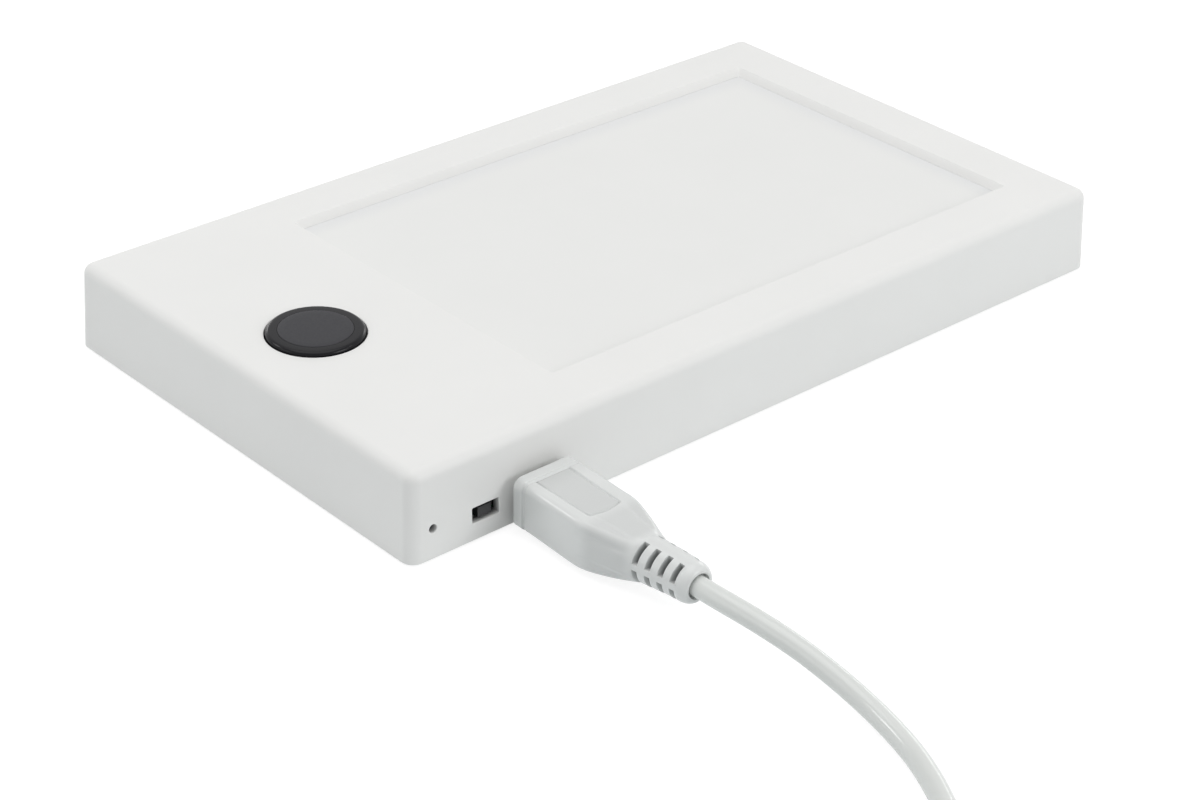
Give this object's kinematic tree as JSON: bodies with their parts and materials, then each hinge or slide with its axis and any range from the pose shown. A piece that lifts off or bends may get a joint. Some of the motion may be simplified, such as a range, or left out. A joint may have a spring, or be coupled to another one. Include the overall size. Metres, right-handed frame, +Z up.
{
  "type": "light panel table lamp",
  "caption": "Flat rechargeable light-panel table lamp: shallow white case with a large diffuser window, a round push button, side ports and a plugged-in charging cord.",
  "frame": {"origin": "on the table under the middle of the lamp, cord and plugs left out", "axes": "+X along the lamp's long side away from the push button, +Y away from the side with the charging socket, +Z up out of the diffuser"},
  "size_m": [0.2378, 0.2139, 0.0153],
  "materials": {
    "white_plastic": "satin",
    "opal_plastic": "satin",
    "clear_plastic": "clear polished",
    "film_plastic": "translucent",
    "reflector_plastic": "matt white",
    "gloss_black_plastic": "glossy",
    "satin_grey_plastic": "satin",
    "black_plastic": "matt",
    "board": "satin",
    "board_white": "satin",
    "steel": "satin nickel",
    "grey_rubber": "matt",
    "battery_foil": "satin foil",
    "foam": "matt foam",
    "red_wire": "satin",
    "black_wire": "satin",
    "cord_plastic": "glossy"
  },
  "bodies": {
    "lamp": {"top_housing": "white_plastic", "diffuser_plate": "opal_plastic", "prism_film": "film_plastic", "light_guide": "clear_plastic", "reflector_sheet": "reflector_plastic", "optics_tray": "reflector_plastic", "led_strip_back": "board_white", "led_strip_front": "board_white", "led_lead_back": "red_wire", "led_lead_front": "red_wire", "main_board": "board", "battery_header": "board_white", "battery_plug": "board_white", "battery_lead_red": "red_wire", "battery_lead_black": "black_wire", "battery_cell": "battery_foil", "battery_tape": "foam", "control_chip": "black_plastic", "driver_coil": "black_plastic", "usb_socket_shell": "steel", "usb_socket_tongue": "black_plastic", "slide_switch_body": "black_plastic", "tact_switch_body": "black_plastic", "status_led": "board_white", "light_pipe": "clear_plastic", "bottom_cover": "white_plastic", "cover_screw_1": "steel", "cover_screw_2": "steel", "cover_screw_3": "steel", "cover_screw_4": "steel", "board_screw_1": "steel", "board_screw_2": "steel", "foot_1": "grey_rubber", "foot_2": "grey_rubber", "foot_3": "grey_rubber", "foot_4": "grey_rubber"},
    "push_button": {"button_cap": "gloss_black_plastic", "button_inset": "satin_grey_plastic"},
    "tact_plunger": {"tact_switch_plunger": "black_plastic"},
    "switch_lever": {"slide_switch_lever": "black_plastic"},
    "charging_cord": {"micro_plug_shell": "steel", "micro_plug_grip": "cord_plastic", "cord_free": "cord_plastic", "cord_coil": "cord_plastic", "cord_tail": "cord_plastic", "cord_tie": "black_plastic", "usb_a_grip": "cord_plastic", "usb_a_shell": "steel", "usb_a_tongue": "board_white"}
  },
  "joints": [
    {"name": "button_press", "type": "slide", "parent": "lamp", "child": "push_button", "axis": [0, 0, -1], "range_m": [0, 0.0003], "stiffness_N_per_m": 600, "springref_m": -0.0002},
    {"name": "plunger_press", "type": "slide", "parent": "lamp", "child": "tact_plunger", "axis": [0, 0, -1], "range_m": [0, 0.0003]},
    {"name": "lever_slide", "type": "slide", "parent": "lamp", "child": "switch_lever", "axis": [-1, 0, 0], "range_m": [-0.001, 0.001]},
    {"name": "plug_pull", "type": "slide", "parent": "lamp", "child": "charging_cord", "axis": [0, -1, 0], "range_m": [0, 0.0055]}
  ],
  "couplings": [
    {"joint": "plunger_press", "follows": "button_press", "ratio": 1}
  ]
}
